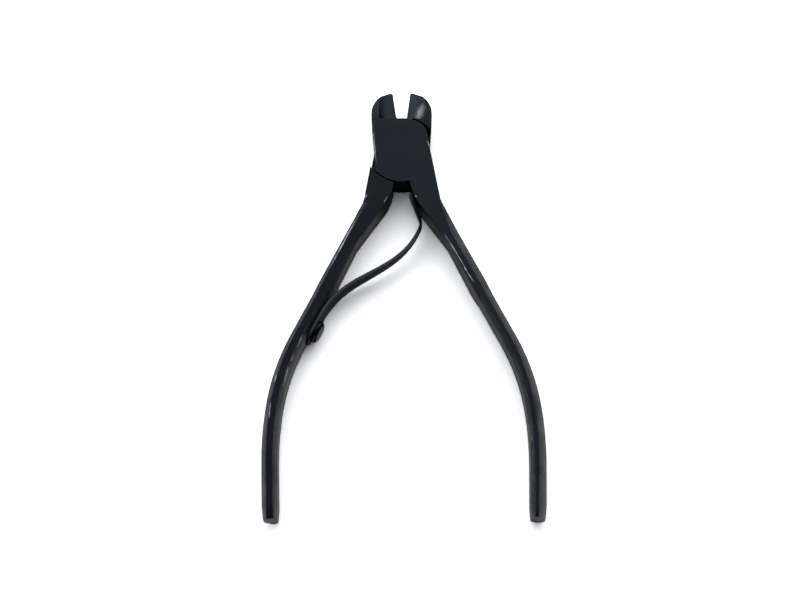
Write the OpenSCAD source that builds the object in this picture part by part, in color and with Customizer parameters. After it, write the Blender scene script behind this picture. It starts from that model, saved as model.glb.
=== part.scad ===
// Hand nippers with side-cutting jaws, a riveted lap joint and a leaf return spring.
// The tool lies flat on z = 0 with the joint axis on the Z axis and the jaws towards +Y.
// Each lever is drawn with the jaws closed and then turned open about the joint.

/* [Head] */
// Thickness of the forged head and handles
head_t = 8; // [7:0.25:10]
// Half width of the head across the joint
head_half_w = 7.75; // [7.2:0.05:8.6]
// Radius of the round lap plates about the joint
disc_r = 9.65; // [9.2:0.05:10.2]
// Clearance between a lap plate and the round seat in the other lever
disc_gap = 0.45; // [0.2:0.01:0.6]
// Clearance between the two lap faces
lap_gap = 0.04; // [0.02:0.01:0.1]
// Radius of the plate corner under the other jaw
plate_corner_r = 3.8; // [2:0.1:4.5]
// Radius of the plate corner over the other handle
heel_r = 0.7; // [0.5:0.1:3.5]

/* [Jaws] */
// Length from the joint axis to the jaw tips
jaw_len = 19.45; // [16:0.05:21]
// Radius of the rounded nose of a jaw
nose_r = 8.9; // [8:0.05:9.4]
// How far the nose circle would rise past the flat tip
nose_rise = 0.4; // [0.2:0.05:0.8]
// Distance from the joint axis at which the jaw faces begin to curve down
thin_from = 10.3; // [10.2:0.1:13]
// Thickness of the jaws at their tips
tip_t = 2.8; // [1.6:0.1:5]
// Radius of the worn corner at each tip
tip_r = 0.5; // [0.2:0.05:0.9]
// Half width of the flat land on the cutting edge
land = 0.3; // [0.15:0.05:0.8]
// Width of the hollow ground into each jaw face
scoop_w = 5.2; // [4:0.1:5.6]
// Distance from the lap plate's rim line to the foot of the hollow
scoop_lift = 0.15; // [0.1:0.05:1]
// Radius of the hollow's lower outer corner
scoop_corner_r = 1.2; // [0.6:0.1:2]

/* [Handles] */
// Width of a handle seen from the front
handle_w = 4.27; // [3.6:0.01:5]
// Width of the waist between head and handle
waist_w = 3.8; // [3.2:0.05:4.4]
// Drop from the joint axis to the corner where the handle splays out
neck_drop = 16.3; // [14:0.1:19]
// Splay of a handle from the tool axis, jaws closed, in degrees
splay_angle = 19.65; // [16:0.05:22]
// Length of the straight upper part of a handle
straight_len = 43; // [38:0.1:48]
// Radius of the main bend
bend_r = 60.5; // [48:0.5:72]
// Radius of the gentler bend that turns the lower end inwards
toe_r = 93; // [75:1:115]
// Turn-in of the lower end, in degrees
toe_angle = 9.1; // [6:0.1:13]
// Length of the straight lower end
toe_len = 14.7; // [10:0.1:22]
// Half width of the slot between the handles below the head, jaws closed
crotch_half = 1.05; // [0.7:0.05:1.3]
// Radius of the inner curve below the head
crotch_r = 14; // [10:0.5:18]
// Width of the flat strip left between the wide chamfers, on the plate side
strip_w = 1.4; // [0.9:0.05:1.8]
// Width of the flat strip on the seat side
seat_strip_w = 1.85; // [1.2:0.05:2.2]
// Slope of the wide chamfers on the handle sides, in degrees
chamfer_angle = 51; // [40:1:58]
// Width of the narrow chamfer beside the waist, on the seat side
break_w = 1; // [0.5:0.05:1.4]
// Width that the soft chamfer beside the waist grows to, on the plate side
soft_w = 1.9; // [1:0.05:2.2]
// Width of the small chamfer along the head's straight side
side_break = 0.45; // [0.2:0.05:0.8]

/* [Joint] */
// Half of the opening between the levers at rest, in degrees
half_open_angle = 7.3; // [6:0.1:10]
// Diameter of the joint rivet
rivet_d = 5; // [4:0.1:6]
// Running clearance of the rivet in the rear lever, on the radius
rivet_fit = 0.03; // [0.02:0.01:0.06]
// Diameter of the countersunk rivet heads
rivet_head_d = 6.6; // [6.2:0.1:7.6]

/* [Spring] */
// Thickness of the leaf
leaf_t = 0.8; // [0.5:0.05:1]
// Width of the leaf at its root
leaf_root_w = 6.6; // [5:0.1:7.2]
// Width of the leaf at its free tip
leaf_tip_w = 2.2; // [1.6:0.1:3]
// Distance from the end of the straight handle up to the spring rivet
fix_up = 4.4; // [4.4:0.1:7]
// Length of leaf below the spring rivet
root_below = 4.4; // [3.6:0.1:4.4]
// Length of leaf that lies on the handle above the spring rivet
root_above = 4.2; // [3.8:0.1:9]
// Length of the bent tip that bears on the other handle
leg_len = 7.7; // [6:0.1:10]
// Clearance left between the free tip and the handle it bears on
tip_gap = 0.1; // [0.05:0.01:0.2]
// Diameter of the spring rivet's shank
pin_d = 2.8; // [2:0.1:3.4]
// Diameter of the spring rivet's head
pin_head_d = 6.2; // [5:0.1:7]
// Thickness of the spring rivet's head
pin_head_t = 1.5; // [1:0.05:2]

/* [Hidden] */

// One overrun serves every cut
over = 1;
// Slope of the jaw side and of the neck side, in degrees
jaw_side_angle = 3.4;
neck_side_angle = 2.65;
// Half the gap left between the cutting edges when the jaws are closed
edge_gap = 0.01;
// Splay of the inner edge below the crotch curve, in degrees
inner_angle = 27.8;
// Stations down the straight handle where the waist ends and the wide chamfers begin
waist_at = 12;
run_at = 26.35;
// Length over which the flat narrows to the strip
run_out = 4.5;
// How far the head's side chamfer runs on past the start of the nose
side_break_run = 3;
// Heights of the two outer chamfers beside the waist
break_h = 0.8;
soft_h = 1.4;
// Station where both outer chamfers begin, least size of the soft one, and where it is full
breaks_at = 0.5;
soft_start = 0.2;
soft_at = 10;
// Plate side's strip, handle width and drop of the faces at the very end
strip_end_w = 0.9;
end_w = 3.7;
end_drop = 0.6;
end_run = 3.5;
// Shift of the plate side's strip towards the inner side of the handle
strip_shift = 0.55;
// Depth of the rivet countersinks
sink_h = 1;
// Radius and turn of the small bend before the spring's tip, in degrees
tip_bend_r = 4.1;
tip_bend_angle = 43;
// Lean of the spring's tip from the tool axis, jaws closed, in degrees
leg_angle = 12.2;
// Station of the spring's tip below the joint axis, jaws closed
tip_drop = 12.4;
// Pull of the two ends on the free curve, as shares of its chord
root_pull_share = 0.4;
tip_pull_share = 0.415;
// Clearances and depth of the spring rivet's shank
pin_fit = 0.02;
pin_depth = 3.2;
// Flat face of the spring rivet's head, as a share of its diameter
pin_face_share = 0.78;
// Thickness that the waist chamfer leaves on the inner edge of the first handle ring
first_chamfer = 0.06;
// Depth by which the handle's first ring is sunk into the waist
root_inset = 0.6;
// Least angle between outline points on a curve, in degrees
fine_angle = 4;
// Numbers of rings along the parts of a handle and of the leaf
run_rings = 3;
straight_rings = 4;
bend_rings = 8;
toe_rings = 5;
last_rings = 2;
end_rings = 3;
leaf_rings_count = 24;
tip_bend_rings = 6;

steel = "#2c2e33";
bright = "#3a3c40";

mid_z = head_t / 2;

function dir(a) = [cos(a), sin(a)];
function down(a) = [sin(a), -cos(a)];
function turn(p, a) = [p[0] * cos(a) - p[1] * sin(a), p[0] * sin(a) + p[1] * cos(a)];
function ang(p) = atan2(p[1], p[0]);
function mix(a, b, t) = a + (b - a) * t;
function steps(a) = max(2, ceil(abs(a) / fine_angle));
function arc(c, r, a0, a1) =
    [for (i = [0:steps(a1 - a0)]) c + r * dir(mix(a0, a1, i / steps(a1 - a0)))];

// Centre of a fillet of radius f between a circle of radius r about the joint and a
// straight side at distance d whose outward normal has angle a; s picks the end
function corner(r, f, d, a, s) =
    (d - f) * dir(a) + s * sqrt(pow(r - f, 2) - pow(d - f, 2)) * dir(a + 90);

// Distances of the head's straight sides from the joint, and their normals
right_d = head_half_w * cos(neck_side_angle);
left_d = head_half_w * cos(jaw_side_angle);
left_angle = 180 - jaw_side_angle;
rim_corner = corner(disc_r, plate_corner_r, right_d, neck_side_angle, 1);
heel = corner(disc_r, heel_r, left_d, left_angle, 1);

// Centre of the round nose, on a line that lets it touch the sloping side
nose_y = jaw_len + nose_rise - nose_r;
nose_x = (nose_y * sin(jaw_side_angle) - left_d + nose_r) / cos(jaw_side_angle);

// The handle's centre line starts at the neck corner and runs straight, then round two bends
neck_corner = [head_half_w + neck_drop * tan(neck_side_angle), -neck_drop];
path_start = neck_corner - handle_w / 2 * dir(splay_angle);
bend_len = bend_r * splay_angle * PI / 180;
toe_bend_len = toe_r * toe_angle * PI / 180;
handle_len = straight_len + bend_len + toe_bend_len + toe_len;
bend_c = path_start + straight_len * down(splay_angle) - bend_r * dir(splay_angle);
toe_c = bend_c + (bend_r - toe_r) * dir(0);
toe_start = toe_c + toe_r * dir(-toe_angle);
toe_at = straight_len + bend_len + toe_bend_len;
function lean(s) =
    s < straight_len ? splay_angle
    : s < straight_len + bend_len ? splay_angle * (1 - (s - straight_len) / bend_len)
    : -toe_angle * min(1, (s - straight_len - bend_len) / toe_bend_len);
function centre(s) =
    s < straight_len ? path_start + s * down(splay_angle)
    : s < straight_len + bend_len ? bend_c + bend_r * dir(lean(s))
    : s < toe_at ? toe_c + toe_r * dir(lean(s))
    : toe_start + (s - toe_at) * down(-toe_angle);
function inner_face(s) = centre(s) - handle_w / 2 * dir(lean(s));

// The inner edge of the neck: upright at the slot, round the crotch curve, then to the waist
waist_in = neck_corner + waist_at * down(splay_angle) - waist_w * dir(splay_angle);
curve_in = crotch_r * (1 - cos(inner_angle));
crotch_y = waist_in[1] + (waist_in[0] - crotch_half - curve_in) / tan(inner_angle)
    + crotch_r * sin(inner_angle);
function wall_x(y) =
    crotch_half + crotch_r * (1 - cos(asin(max(0, (crotch_y - y) / crotch_r))));

// One outline for the jaw, the lap plate and the neck, from the tip round by the heel
head_points = concat(
    arc([-edge_gap - tip_r, jaw_len - tip_r], tip_r, 0, 90),
    arc([nose_x, nose_y], nose_r, 180 - asin((jaw_len - nose_y) / nose_r), left_angle),
    arc(heel, heel_r, left_angle, 360 + ang(heel)),
    arc([0, 0], disc_r, 360 + ang(heel), 360 - acos(crotch_half / disc_r)),
    arc([crotch_half + crotch_r, crotch_y], crotch_r, 180, 180 + inner_angle),
    [waist_in,
     centre(run_at) - handle_w / 2 * dir(splay_angle),
     centre(run_at) + handle_w / 2 * dir(splay_angle),
     neck_corner],
    arc(rim_corner, plate_corner_r, neck_side_angle, ang(rim_corner)),
    arc([0, 0], disc_r, ang(rim_corner), 90 + asin(edge_gap / disc_r)));

// A solid skin over rings of points, with flat ends
module loft(rings) {
    m = len(rings[0]);
    n = len(rings);
    polyhedron(
        points = [for (r = rings) each r],
        faces = concat(
            [[for (j = [m - 1:-1:0]) j]],
            [[for (j = [0:m - 1]) (n - 1) * m + j]],
            [for (i = [0:n - 2]) for (j = [0:m - 1])
                [i * m + j, i * m + (j + 1) % m, (i + 1) * m + j]],
            [for (i = [0:n - 2]) for (j = [0:m - 1])
                [i * m + (j + 1) % m, (i + 1) * m + (j + 1) % m, (i + 1) * m + j]]),
        convexity = 4);
}

// One eight-cornered ring across the handle at station s
function at(s, q, z) = [centre(s)[0] + q * dir(lean(s))[0], centre(s)[1] + q * dir(lean(s))[1], z];
function handle_ring(s) =
    let (run = min(1, max(0, (s - run_at) / run_out)),
         last = max(0, (s - toe_at) / toe_len),
         tail = max(0, 1 - (handle_len - s) / end_run),
         half = mix(handle_w, end_w, tail) / 2,
         flat = mix(strip_w, strip_end_w, last) / 2,
         seat_flat = seat_strip_w / 2,
         top = head_t - end_drop * tail,
         foot = end_drop * tail,
         rise = tan(chamfer_angle),
         foot_w = mix(break_w, half - seat_flat, run),
         foot_in_w = mix(first_chamfer, half - seat_flat, run),
         top_w = mix(soft_w, half - flat + strip_shift, run),
         top_in_w = mix(first_chamfer, half - flat - strip_shift, run),
         foot_h = mix(break_h, foot_w * rise, run),
         foot_in_h = mix(first_chamfer, foot_in_w * rise, run),
         top_h = mix(soft_h, top_w * rise, run),
         top_in_h = mix(first_chamfer, top_in_w * rise, run))
    [at(s, half - foot_w, foot), at(s, foot_in_w - half, foot),
     at(s, -half, foot + foot_in_h), at(s, -half, top - top_in_h),
     at(s, top_in_w - half, top), at(s, half - top_w, top),
     at(s, half, top - top_h), at(s, half, foot + foot_h)];

handle_stations = concat(
    [for (i = [0:run_rings]) run_at + run_out * i / run_rings],
    [for (i = [1:straight_rings]) mix(run_at + run_out, straight_len, i / straight_rings)],
    [for (i = [1:bend_rings]) straight_len + bend_len * i / bend_rings],
    [for (i = [1:toe_rings]) straight_len + bend_len + toe_bend_len * i / toe_rings],
    [for (i = [1:last_rings]) mix(toe_at, handle_len - end_run, i / last_rings)],
    [for (i = [1:end_rings]) handle_len - end_run * (1 - i / end_rings)]);

module handle() {
    inside = run_at - run_out / run_rings;
    first = [for (p = handle_ring(run_at))
        let (c = centre(run_at), d = centre(inside) - c, q = [p[0], p[1]] - c)
        [c[0] + d[0] + q[0] * (1 - root_inset / handle_w),
         c[1] + d[1] + q[1] * (1 - root_inset / handle_w),
         mix(p[2], mid_z, root_inset / handle_w)]];
    loft(concat([first], [for (s = handle_stations) handle_ring(s)]));
}

// A chamfer cut along the neck's outer edge: s, width and height at each station
function edge_cut(s, w, h, z, out) =
    [at(s, handle_w / 2 - w, z), at(s, handle_w / 2 - w, z + out),
     at(s, handle_w / 2 + over, z + out), at(s, handle_w / 2 + over, z - sign(out) * h),
     at(s, handle_w / 2, z - sign(out) * h)];

// The outer edge of the neck has a narrow chamfer on the seat side, and on the plate side a
// soft one that grows from nothing
module outer_breaks() {
    loft([for (t = [run_at + over, breaks_at]) edge_cut(t, break_w, break_h, 0, -over)]);
    loft([edge_cut(breaks_at, soft_start, soft_start, head_t, over),
          edge_cut(soft_at, soft_w, soft_h, head_t, over),
          edge_cut(run_at + over, soft_w, soft_h, head_t, over)]);
}

// Both faces of a jaw curve down to the tip about one large radius
thin_run = jaw_len - thin_from;
thin_drop = (head_t - tip_t) / 2;
thin_r = (pow(thin_run, 2) + pow(thin_drop, 2)) / (2 * thin_drop);
module thinning() {
    far = jaw_len + over;
    rotate([90, 0, 90])
        translate([0, 0, -2 * head_half_w])
            linear_extrude(height = 3 * head_half_w)
                polygon(concat(
                    [[far, head_t + over], [thin_from, head_t + over]],
                    arc([thin_from, head_t - thin_r], thin_r, 90, 90 - asin((far - thin_from) / thin_r))));
}

// The small chamfer along the straight side of the head, on both faces
module side_breaks() {
    for (z = [0, head_t])
        rotate([0, 0, -jaw_side_angle])
            translate([-left_d, -disc_r, z])
                rotate([-90, 0, 0])
                    linear_extrude(height = disc_r + nose_y + side_break_run)
                        polygon([[-side_break, 0], [0, -side_break], [side_break, 0],
                                 [0, side_break]]);
}

// The hollow ground into a jaw face, deepest at the cutting edge, with one round corner
scoop_foot = disc_r + scoop_lift;
scoop_depth = mid_z - land;
scoop_r = (pow(scoop_w, 2) + pow(scoop_depth, 2)) / (2 * scoop_depth);
module scoop() {
    translate([0, scoop_foot, 0])
        rotate([0, 0, -jaw_side_angle])
            intersection() {
                translate([0, -scoop_w, head_t - scoop_depth + scoop_r])
                    rotate([-90, 0, 0])
                        cylinder(h = jaw_len + scoop_w, r = scoop_r, $fn = 96);
                linear_extrude(height = head_t + over)
                    polygon(concat(
                        arc([scoop_corner_r - scoop_w, scoop_corner_r], scoop_corner_r, 180, 270),
                        [[scoop_w, scoop_w * tan(jaw_side_angle)], [scoop_w, jaw_len],
                         [-scoop_w, jaw_len]]));
            }
}

module jaw_face() {
    thinning();
    scoop();
}

// The shape shared by both levers, jaws closed: left jaw, lap plate and right handle
module lever_blank(bore_d, sink_d) {
    difference() {
        union() {
            difference() {
                linear_extrude(height = head_t)
                    polygon(head_points);
                translate([0, 0, -over])
                    cylinder(h = mid_z + lap_gap / 2 + over, r = disc_r + disc_gap, $fn = 128);
                outer_breaks();
                side_breaks();
            }
            handle();
        }
        translate([0, 0, -over])
            cylinder(h = head_t + 2 * over, d = bore_d, $fn = 64);
        translate([0, 0, head_t - sink_h])
            cylinder(h = sink_h, d1 = bore_d, d2 = sink_d, $fn = 64);
        jaw_face();
        translate([0, 0, head_t])
            mirror([0, 0, 1])
                jaw_face();
    }
}

module front_lever() {
    color(steel)
        rotate([0, 0, half_open_angle])
            lever_blank(rivet_d, rivet_head_d);
}

// Stations and directions of the spring, on the handle of the rear lever
fix_at = straight_len - fix_up;
function rear(p) = turn([-p[0], p[1]], -half_open_angle);
leaf_up = rear(-down(splay_angle));
leaf_out = rear(-dir(splay_angle));

module place_pin(depth) {
    foot = rear(inner_face(fix_at));
    translate([foot[0], foot[1], mid_z])
        rotate([0, 90, ang(leaf_out)])
            translate([0, 0, -depth])
                children();
}

module rear_lever() {
    color(steel)
        difference() {
            rotate([0, 0, -half_open_angle])
                translate([0, 0, head_t])
                    rotate([0, 180, 0])
                        lever_blank(rivet_d + 2 * rivet_fit, rivet_head_d + 2 * rivet_fit);
            place_pin(pin_depth)
                cylinder(h = pin_depth + over, d = pin_d + 2 * pin_fit, $fn = 48);
        }
}

// The rivet is closed flush into a countersink on each face
module joint_rivet() {
    color(bright)
        rotate_extrude($fn = 64)
            polygon([[0, 0], [rivet_head_d / 2, 0], [rivet_d / 2, sink_h],
                     [rivet_d / 2, head_t - sink_h], [rivet_head_d / 2, head_t], [0, head_t]]);
}

// Centre line of the leaf: root end, free curve, small bend and straight tip
lift = leaf_t / 2;
rivet_foot = rear(inner_face(fix_at));
root_end = rivet_foot - root_below * leaf_up + lift * leaf_out;
curve_start = rivet_foot + root_above * leaf_up + lift * leaf_out;
tip_end = turn([wall_x(-tip_drop) - lift - tip_gap, -tip_drop], half_open_angle);
leg_lean = half_open_angle + leg_angle;
leg_start = tip_end + leg_len * down(leg_lean);
tip_bend_c = leg_start - tip_bend_r * dir(leg_lean);
curve_lean = leg_lean - tip_bend_angle;
curve_end = tip_bend_c + tip_bend_r * dir(curve_lean);
chord = norm(curve_end - curve_start);
root_ctrl = curve_start + root_pull_share * chord * leaf_up;
tip_ctrl = curve_end + tip_pull_share * chord * down(curve_lean);
function curve(t) =
    pow(1 - t, 3) * curve_start + 3 * pow(1 - t, 2) * t * root_ctrl
    + 3 * (1 - t) * t * t * tip_ctrl + pow(t, 3) * curve_end;
function slope(t) =
    pow(1 - t, 2) * (root_ctrl - curve_start) + 2 * (1 - t) * t * (tip_ctrl - root_ctrl)
    + t * t * (curve_end - tip_ctrl);
function leaf_ring(p, side, w) =
    [[p[0] + lift * side[0], p[1] + lift * side[1], mid_z - w / 2],
     [p[0] + lift * side[0], p[1] + lift * side[1], mid_z + w / 2],
     [p[0] - lift * side[0], p[1] - lift * side[1], mid_z + w / 2],
     [p[0] - lift * side[0], p[1] - lift * side[1], mid_z - w / 2]];
function side_of(v) = [v[1], -v[0]] / norm(v);

// The root end is a half circle seen from the front of the leaf
root_r = leaf_root_w / 2;
end_angles_share = [0.08, 0.25, 0.5, 0.75];
leaf_rings = concat(
    [for (e = end_angles_share)
        leaf_ring(root_end + root_r * (1 - cos(90 * e)) * leaf_up, leaf_out,
                  leaf_root_w * sin(90 * e))],
    [leaf_ring(root_end + root_r * leaf_up, leaf_out, leaf_root_w)],
    [for (i = [0:leaf_rings_count])
        let (t = i / leaf_rings_count)
        leaf_ring(curve(t), side_of(slope(t)), mix(leaf_root_w, leaf_tip_w, t))],
    [for (i = [1:tip_bend_rings])
        let (a = curve_lean + tip_bend_angle * i / tip_bend_rings)
        leaf_ring(tip_bend_c + tip_bend_r * dir(a), dir(a), leaf_tip_w)],
    [leaf_ring(tip_end, dir(leg_lean), leaf_tip_w)]);

module leaf_spring() {
    color(steel)
        difference() {
            loft(leaf_rings);
            place_pin(over)
                cylinder(h = leaf_t + 2 * over, d = pin_d + 2 * pin_fit, $fn = 48);
        }
}

// A shank in the rear handle and a low head on the leaf
module spring_rivet() {
    face_r = pin_head_d / 2 * pin_face_share;
    edge = pin_head_t / 2;
    color(steel)
        place_pin(pin_depth)
            rotate_extrude($fn = 64)
                polygon([[0, 0], [pin_d / 2, 0], [pin_d / 2, pin_depth + leaf_t],
                         [pin_head_d / 2, pin_depth + leaf_t],
                         [pin_head_d / 2, pin_depth + leaf_t + edge],
                         [face_r, pin_depth + leaf_t + pin_head_t],
                         [0, pin_depth + leaf_t + pin_head_t]]);
}

front_lever();
rear_lever();
joint_rivet();
leaf_spring();
spring_rivet();
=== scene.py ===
"""Blackened side cutting nippers lying open on white paper."""

import math

import bmesh
import bpy
from mathutils import Matrix, Vector
from mathutils.bvhtree import BVHTree


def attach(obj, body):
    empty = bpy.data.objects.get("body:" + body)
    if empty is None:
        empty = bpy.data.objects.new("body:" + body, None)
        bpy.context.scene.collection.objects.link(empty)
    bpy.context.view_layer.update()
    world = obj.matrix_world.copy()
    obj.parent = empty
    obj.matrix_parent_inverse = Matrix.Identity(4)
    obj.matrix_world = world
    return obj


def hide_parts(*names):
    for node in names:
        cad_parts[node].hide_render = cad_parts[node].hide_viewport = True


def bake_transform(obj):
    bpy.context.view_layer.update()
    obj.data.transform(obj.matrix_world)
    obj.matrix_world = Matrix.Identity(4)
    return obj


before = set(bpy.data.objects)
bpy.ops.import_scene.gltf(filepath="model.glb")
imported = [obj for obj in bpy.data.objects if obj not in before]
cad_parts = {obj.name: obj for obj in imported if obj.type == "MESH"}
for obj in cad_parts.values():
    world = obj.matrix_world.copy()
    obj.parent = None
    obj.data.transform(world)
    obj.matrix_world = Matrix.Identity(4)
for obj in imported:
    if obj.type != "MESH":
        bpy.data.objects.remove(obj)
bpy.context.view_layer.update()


# The view
# The nippers are seen from nearly overhead and from 43 cm away, with the camera leaning back
# towards the handle ends by a little more than a fifth of a right angle.
MM = 0.001
LEAN = math.radians(20)
ROLL = math.radians(-0.37)
AIM = Vector((-0.795, -44.587, 4.0)) * MM
REACH = 432 * MM

camera = bpy.data.objects.new("camera", bpy.data.cameras.new("camera"))
bpy.context.scene.collection.objects.link(camera)
bpy.context.scene.camera = camera
camera.data.sensor_width = 36
camera.data.lens = 72
camera.data.clip_start = 0.01
camera.matrix_world = (
    Matrix.Translation(AIM)
    @ Matrix.Rotation(LEAN, 4, "X")
    @ Matrix.Translation((0, 0, REACH))
    @ Matrix.Rotation(ROLL, 4, "Z")
)
bpy.context.scene.view_settings.view_transform = "Standard"


# The sheet of paper
# Plain white bond paper, quite matt. The camera and the steel see it white, and it still takes
# the tool's shade, which is deep in the crotch and faint elsewhere beside the tool.
SEEN_WHITER = 1.6
MIRRORED_WHITER = 1.1


def linear(code):
    """An sRGB hex colour as linear red, green, blue and alpha."""
    parts = [int(code[i : i + 2], 16) / 255 for i in (1, 3, 5)]
    return [c / 12.92 if c <= 0.04045 else ((c + 0.055) / 1.055) ** 2.4 for c in parts] + [1.0]


def add(tree, kind, settings=None, **links):
    """Adds a node; each link is a value, or an output to join, for the input of that name.

    Inputs that share a name are given by number, as n0 or n6.
    """
    made = tree.nodes.new("ShaderNode" + kind)
    for key, value in (settings or {}).items():
        setattr(made, key, value)
    for key, value in links.items():
        by_number = key[0] == "n" and key[1:].isdigit()
        socket = made.inputs[int(key[1:]) if by_number else key.replace("_", " ")]
        if isinstance(value, bpy.types.NodeSocket):
            tree.links.new(value, socket)
        else:
            socket.default_value = value
    return made


def material(name):
    """A new node material, its tree and its shader."""
    made = bpy.data.materials.new(name)
    made.use_nodes = True
    return made, made.node_tree, made.node_tree.nodes["Principled BSDF"]


bond_paper, tree, shader = material("white_bond_paper")
shader.inputs["Base Color"].default_value = linear("#fafafb")
shader.inputs["Roughness"].default_value = 0.9
shader.inputs["Specular IOR Level"].default_value = 0.0
# Seen by the camera, or mirrored in the steel, the sheet is printed up to full white
path = add(tree, "LightPath")
mirrored = add(
    tree, "Math", {"operation": "MAXIMUM"},
    n0=path.outputs["Is Glossy Ray"], n1=path.outputs["Is Transmission Ray"],
)
in_steel = add(
    tree, "Math", {"operation": "MULTIPLY"}, n0=mirrored.outputs[0], n1=MIRRORED_WHITER
)
lift = add(
    tree, "Math", {"operation": "MULTIPLY_ADD"},
    n0=path.outputs["Is Camera Ray"], n1=SEEN_WHITER, n2=in_steel.outputs[0],
)
lift_colour = add(
    tree, "CombineColor", Red=lift.outputs[0], Green=lift.outputs[0], Blue=lift.outputs[0]
)
printed_up = add(tree, "BsdfDiffuse", Color=lift_colour.outputs[0])
both = add(tree, "AddShader", n0=shader.outputs[0], n1=printed_up.outputs[0])
tree.links.new(both.outputs[0], tree.nodes["Material Output"].inputs["Surface"])

bm = bmesh.new()
bmesh.ops.create_grid(bm, x_segments=1, y_segments=1, size=3.0)
paper = bpy.data.objects.new("paper", bpy.data.meshes.new("paper"))
bm.to_mesh(paper.data)
bm.free()
paper.data.materials.append(bond_paper)
bpy.context.scene.collection.objects.link(paper)


# The light
# A white room, brightest beyond the jaws and a little to the left, that falls off towards the
# photographer, and one broad window beyond the jaws. At their level a colour renders about as it
# is written.
TO_THE_LEFT = 0.2
DARKEST, BRIGHTEST = 0.1, 1.5
SEEN_BRIGHTER = 1.2

room = bpy.data.worlds.new("room")
bpy.context.scene.world = room
room.use_nodes = True
tree = room.node_tree
toward = add(tree, "SeparateXYZ", Vector=add(tree, "TexCoord").outputs["Generated"])
ahead = add(
    tree, "Math", {"operation": "MULTIPLY_ADD"},
    n0=toward.outputs["X"], n1=-TO_THE_LEFT, n2=toward.outputs["Y"],
)
falloff = add(
    tree, "MapRange", {"interpolation_type": "SMOOTHSTEP"}, Value=ahead.outputs[0],
    From_Min=-0.5, From_Max=1.0, To_Min=DARKEST, To_Max=BRIGHTEST,
)
tree.nodes["Background"].inputs["Color"].default_value = linear("#f4f6fa")
# Seen directly, over the sheet's far edge, the room is as white as the sheet
seen = add(
    tree, "Math", {"operation": "MULTIPLY_ADD"},
    n0=add(tree, "LightPath").outputs["Is Camera Ray"], n1=SEEN_BRIGHTER,
    n2=falloff.outputs[0],
)
tree.links.new(seen.outputs[0], tree.nodes["Background"].inputs["Strength"])

WINDOW_AT = Vector((0.06, 0.50, 0.36))
window = bpy.data.objects.new("window", bpy.data.lights.new("window", "AREA"))
window.data.shape = "RECTANGLE"
window.data.size = 1.4
window.data.size_y = 0.5
window.data.energy = 2.3
window.location = WINDOW_AT
window.rotation_euler = (AIM - WINDOW_AT).to_track_quat("-Z", "Y").to_euler()
bpy.context.scene.collection.objects.link(window)


# The two levers
# Each is one drop forging of carbon steel: a jaw, half of the lap joint and a bowed handle. The
# faces are ground, the corners are knocked off by tumbling, and the whole is blackened in a hot
# oxide bath. Handling has worn some corners bright, and other bright marks on the edges are
# painted highlights.
HALF_OPEN = math.radians(7.3)
MID_HEIGHT = 4 * MM
RIVET_HEAD = 3.6 * MM
CORNER = 0.11 * MM
SHARP_FROM = math.radians(25)
FLAT_WITHIN = math.radians(0.6)
HOLLOW_FROM, HOLLOW_REACH = 9.9 * MM, 5.1 * MM
HANDLE_FROM = -14 * MM


def broken_corners(node, width, kept_within=0.0):
    """A copy of a node's mesh, merged, with its sharp corners broken; worn marks their crests.

    Edges that come nearer to the joint axis than kept_within are left sharp.
    """
    bm = bmesh.new()
    bm.from_mesh(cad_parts[node].data)
    bmesh.ops.remove_doubles(bm, verts=bm.verts, dist=0.002 * MM)
    bmesh.ops.dissolve_limit(
        bm, angle_limit=FLAT_WITHIN, verts=bm.verts[:], edges=bm.edges[:]
    )
    skin = BVHTree.FromBMesh(bm)
    worn = bm.verts.layers.float.new("worn")
    sharp = [
        e for e in bm.edges
        if len(e.link_faces) == 2 and e.calc_face_angle(0) > SHARP_FROM
        and min(v.co.xy.length for v in e.verts) > kept_within
    ]
    done = bmesh.ops.bevel(
        bm, geom=sharp, affect="EDGES", offset=width, offset_type="OFFSET", segments=2,
        profile=0.5, clamp_overlap=False, material=-1,
    )
    rounded = set(done["faces"])
    for v in done["verts"]:
        if not v.is_valid:
            continue
        if all(f in rounded for f in v.link_faces):
            v[worn] = 1.0
        # Where corners run together the bevel overshoots, and the point goes back to the skin
        near, normal, _, gap = skin.find_nearest(v.co)
        if gap > 0.75 * width or (v.co - near).dot(normal) > 0.02 * width:
            v.co = near
    for f in bm.faces:
        f.smooth = True
    return bm


def piece_from(name, bm, slot, node, *finishes):
    """Makes the mesh a piece that stands for the node."""
    mesh = bpy.data.meshes.new(name)
    bm.to_mesh(mesh)
    bm.free()
    made = bpy.data.objects.new(name, mesh)
    for finish in finishes:
        mesh.materials.append(finish)
    bpy.context.scene.collection.objects.link(made)
    even = made.modifiers.new("even_shading", "WEIGHTED_NORMAL")
    even.keep_sharp = True
    even.weight = 100
    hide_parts(node)
    return made


def spot_mask(tree, place, spots):
    """A mask of soft spots, each a centre, a turn about Z in degrees and half sizes, in mm."""
    total = None
    for centre, turn, size in spots:
        spot = add(
            tree, "Mapping", {"vector_type": "TEXTURE"}, Vector=place,
            Location=[c * MM for c in centre], Rotation=(0, 0, math.radians(turn)),
            Scale=[c * MM for c in size],
        )
        fade = add(
            tree, "TexGradient", {"gradient_type": "SPHERICAL"}, Vector=spot.outputs[0]
        ).outputs["Fac"]
        if total is not None:
            fade = add(tree, "Math", {"operation": "MAXIMUM"}, n0=total, n1=fade).outputs[0]
        total = fade
    return total


# Black oxide is a thin blue-black skin with a low sheen. Forged and ground steel keeps a fine
# grain under it, and where hands and the drawer have worn it, grey steel shows through. Other
# spots are painted light: painted highlights on edges, a painted reflection in one hollow and
# painted shade on the leaf's tip.
NOISE_PATCH = 0.4
MOTTLE = 3.0 * MM
CREST_WEAR = 0.25


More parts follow.
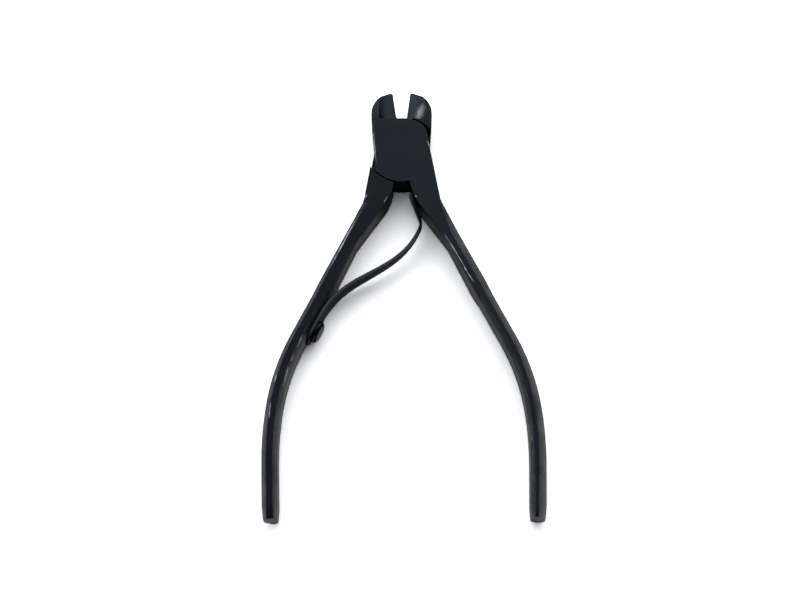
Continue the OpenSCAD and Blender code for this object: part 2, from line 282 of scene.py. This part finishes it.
def black_oxide(
    name, skin_colour, grain_mm, roughness, spot_places=(), spot_colour="#a3a5aa", side_grading=0.0
):
    """Blackened steel between two skin colours, grey steel on worn crests, a spot colour on
    spots.

    A noise at scale 1 has patches NOISE_PATCH across. The last argument grades the tone of the
    sides: painted shading, lighter at mid height and darker towards the top and bottom faces, and
    darker beside the head.
    """
    made, tree, shader = material(name)
    place = add(tree, "TexCoord").outputs["Object"]
    crest = add(tree, "Attribute", {"attribute_name": "worn"}).outputs["Fac"]
    mottle = add(
        tree, "TexNoise", Vector=place, Scale=NOISE_PATCH / MOTTLE, Detail=5.0, Roughness=0.6
    )
    grain = add(
        tree, "TexNoise", Vector=place, Scale=NOISE_PATCH / (grain_mm * MM), Detail=3.0,
        Roughness=0.65,
    )
    patches = add(
        tree, "MapRange", Value=grain.outputs["Fac"], From_Min=0.4, From_Max=0.6
    )
    chips = add(
        tree, "Math", {"operation": "MULTIPLY"}, n0=patches.outputs[0], n1=CREST_WEAR
    )
    wear_and_painted_light = add(
        tree, "Math", {"operation": "MULTIPLY"}, n0=crest, n1=chips.outputs[0]
    ).outputs[0]
    # Spots take the spot colour: on the levers partly worn steel and partly painted highlights,
    # in one hollow a painted reflection, on the leaf painted shade
    if spot_places:
        spots = spot_mask(tree, place, spot_places)
        torn = add(
            tree, "Math", {"operation": "MULTIPLY_ADD"},
            n0=grain.outputs["Fac"], n1=0.9, n2=-0.45,
        )
        spread = add(tree, "Math", n0=spots, n1=torn.outputs[0])
        cut = add(
            tree, "MapRange", Value=spread.outputs[0], From_Min=0.3, From_Max=0.7
        )
        wear_and_painted_light = add(
            tree, "Math", {"operation": "MAXIMUM"}, n0=wear_and_painted_light, n1=cut.outputs[0]
        ).outputs[0]
    # Painted shading of the rounded sides: lighter at mid height, darker towards the top and
    # bottom faces, and darker still beside the head
    at = add(tree, "SeparateXYZ", Vector=place).outputs
    off_middle = add(tree, "Math", {"operation": "SUBTRACT"}, n0=at["Z"], n1=MID_HEIGHT)
    outward = add(tree, "Math", {"operation": "ABSOLUTE"}, n0=off_middle.outputs[0])
    painted_edge_shading = add(
        tree, "MapRange", Value=outward.outputs[0], From_Min=MID_HEIGHT, From_Max=1.5 * MM,
        To_Min=-0.5 * side_grading, To_Max=0.5 * side_grading,
    )
    by_head = add(
        tree, "MapRange", Value=at["Y"], From_Min=-20 * MM, From_Max=HANDLE_FROM,
        To_Min=0.0, To_Max=-1.6 * side_grading,
    )
    edge_shade_and_head_tone = add(tree, "Math", n0=painted_edge_shading.outputs[0], n1=by_head.outputs[0])
    pale = add(tree, "Math", n0=mottle.outputs["Fac"], n1=edge_shade_and_head_tone.outputs[0])
    skin_tone = add(
        tree, "Mix", {"data_type": "RGBA"}, n0=pale.outputs[0],
        n6=linear(skin_colour[0]), n7=linear(skin_colour[1]),
    )
    tone = add(
        tree, "Mix", {"data_type": "RGBA"}, n0=wear_and_painted_light,
        n6=skin_tone.outputs[2], n7=linear(spot_colour),
    )
    tree.links.new(tone.outputs[2], shader.inputs["Base Color"])
    sheen = add(
        tree, "MapRange", Value=mottle.outputs["Fac"], From_Min=0.3, From_Max=0.7,
        To_Min=roughness - 0.05, To_Max=roughness + 0.05,
    )
    tree.links.new(sheen.outputs[0], shader.inputs["Roughness"])
    relief = add(
        tree, "Bump", Height=grain.outputs["Fac"], Strength=0.25, Distance=0.02 * MM
    )
    tree.links.new(relief.outputs[0], shader.inputs["Normal"])
    shader.inputs["Metallic"].default_value = 1.0
    # The oxide flares less at a glancing view than bare metal does
    shader.inputs["Specular Tint"].default_value = linear("#aaaaaa")
    return made


# The places painted in grey steel, partly worn steel and partly painted highlights where edges
# catch the light. On the front lever: four strokes along the neck's inner edge, a painted glint
# beside the leaf's tip, a short line on the head's right edge, two strokes low on the handle and
# a long line down the head's left edge, which is a painted reflection
FRONT_SPOTS = (
    ((13.3, -28.8, 8.0), -59.5, (5.6, 0.3, 0.5)),
    ((15.6, -33.0, 8.0), -60.6, (4.4, 0.2, 0.35)),
    ((17.0, -35.8, 8.0), -61.0, (1.4, 0.3, 0.5)),
    ((18.0, -37.6, 8.0), -60.5, (3.6, 0.2, 0.35)),
    ((3.76, -14.25, 8.0), 0, (0.42, 0.36, 0.4)),
    ((7.5, 1.4, 8.0), -73, (2.6, 0.2, 0.4)),
    ((32.7, -78.8, 7.8), 96, (3.4, 0.24, 0.8)),
    ((33.1, -82.6, 7.8), 100, (1.6, 0.24, 0.8)),
    ((-7.8, 2.3, 7.9), -84.6, (8.6, 0.45, 0.45)),
)
# On the rear lever, done the same way: the corner where the neck leaves the head, the neck's
# outer and inner edges, and strokes along the edges of the handle's flat; the long stroke down
# the neck's outer chamfer is painted light on a chamfer that faces the light
REAR_SPOTS = (
    ((-10.1, -14.1, 7.6), 62, (1.5, 0.7, 0.9)),
    ((-14.6, -24.5, 7.9), 65, (17.0, 0.4, 0.4)),
    ((-4.65, -15.26, 8.0), 62, (2.0, 0.12, 0.25)),
    ((-27.5, -56.0, 7.8), 69, (3.4, 0.26, 0.7)),
    ((-29.4, -60.5, 7.7), 66, (1.9, 0.24, 0.8)),
    ((-31.0, -65.8, 7.6), 77, (4.4, 0.3, 0.9)),
    ((-33.7, -66.1, 7.8), 83, (2.0, 0.28, 0.8)),
    ((-35.0, -75.1, 7.8), 85, (4.4, 0.24, 0.8)),
)
blackened = {
    "front_lever": black_oxide(
        "black_oxide_on_ground_forging", ("#1c1f24", "#272b30"), 0.45, 0.42, FRONT_SPOTS
    ),
    # The rear lever's skin is painted darker than the front lever's, as painted shade
    "rear_lever": black_oxide(
        "black_oxide_on_ground_forging_rubbed", ("#181a1f", "#22252a"), 0.45, 0.42, REAR_SPOTS
    ),
}
# The rear lever's hollow is painted lighter than the front lever's, as painted light, and has a
# painted reflection: a bright spot on its lower part
hollow_finish = {
    "front_lever": black_oxide(
        "black_oxide_on_hollow_ground_steel", ("#1f2227", "#2a2d32"), 0.3, 0.34
    ),
    "rear_lever": black_oxide(
        "black_oxide_on_hollow_ground_steel_painted_reflection", ("#26292f", "#31343a"), 0.3, 0.3,
        (((5.2, 12.3, 6.4), -7, (2.6, 4.2, 3.4)),), "#82828a",
    ),
}
# The chamfers and walls of the handles are as forged, with a coarser grain. Their skin carries
# painted shading, warm grey at mid height and darker towards the faces and beside the head, and
# the rear lever's is painted lighter, as painted light
chamfer_finish = {
    "front_lever": black_oxide(
        "black_oxide_sides_painted_shading", ("#24282c", "#646260"), 0.6, 0.42, FRONT_SPOTS, side_grading=0.7
    ),
    "rear_lever": black_oxide(
        "black_oxide_sides_painted_shading_rear_lit", ("#2b2f33", "#706e6c"), 0.6, 0.42, REAR_SPOTS, side_grading=0.7
    ),
}

for node, body, turn in (
    ("front_lever", "front", -HALF_OPEN), ("rear_lever", "rear", HALF_OPEN)
):
    bm = broken_corners(node, CORNER, kept_within=RIVET_HEAD)
    # The hollows ground into the jaws and the sides of the handles have finishes of their own;
    # they are found with the jaws turned shut
    shut = Matrix.Rotation(turn, 3, "Z")
    for f in bm.faces:
        at = shut @ f.calc_center_median()
        depth = MID_HEIGHT - abs(at.z - MID_HEIGHT)
        in_jaw = at.y > HOLLOW_FROM and abs(at.x) < HOLLOW_REACH and depth > 0.02 * MM
        sloping = 0.2 < abs(f.normal.z) < 0.995 and abs(f.normal.y) < 0.3
        if in_jaw and sloping and (shut @ f.normal).x * at.x < 0:
            f.material_index = 1
        if at.y < HANDLE_FROM and abs(f.normal.z) < 0.9:
            f.material_index = 2
    lever = piece_from(
        node + "_forging", bm, "blackened_forging", node,
        blackened[node], hollow_finish[node], chamfer_finish[node],
    )
    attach(lever, body)


# The joint rivet
# A plain steel rivet upset into a countersink on each face, ground flush, with no broken corner,
# and blackened with the levers, so that its heads hardly show.
rivet = piece_from(
    "flush_rivet", broken_corners("joint_rivet", 0.04 * MM, kept_within=math.inf),
    "joint_rivet_steel", "joint_rivet", blackened["front_lever"],
)
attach(rivet, "front")


# The leaf spring
# A strip of tempered spring steel, tapered, bent once near its tip and riveted to one handle.
# Its rolled faces are smoother than the forgings, and its tip leg is painted darker, as painted
# shade where it lies in the crotch against the handle's wall.
SHADED_LEAF_TIP = (((4.2, -19.0, 4.0), -12, (6.0, 12.0, 10.0)),)
spring_finish = black_oxide(
    "blackened_spring_strip", ("#303236", "#3f4147"), 0.25, 0.38, SHADED_LEAF_TIP, "#131418"
)
leaf = piece_from(
    "tempered_leaf", broken_corners("leaf_spring", 0.08 * MM),
    "spring_steel", "leaf_spring", spring_finish,
)
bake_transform(leaf)


# The spring rivet
# A pan-headed steel rivet through the root of the leaf, painted dark round its rim as painted
# shade, and with its flat face painted grey as painted light on its lit side.
STUD_TURN = math.radians(-26.95)

stud_finish = black_oxide("blackened_rivet_steel", ("#14161a", "#1d1f23"), 0.3, 0.4)
face_finish = black_oxide("blackened_rivet_steel_painted_lit_face", ("#595a5f", "#6f7075"), 0.25, 0.42)
outward = Matrix.Rotation(STUD_TURN, 3, "Z") @ Vector((1, 0, 0))
bm = broken_corners("spring_rivet", 0.1 * MM)
# The flat face takes the painted-light grey finish
for f in bm.faces:
    if f.normal.dot(outward) > 0.97:
        f.material_index = 1
stud = piece_from(
    "pan_headed_rivet", bm, "spring_rivet_steel", "spring_rivet", stud_finish, face_finish
)
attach(stud, "rear")
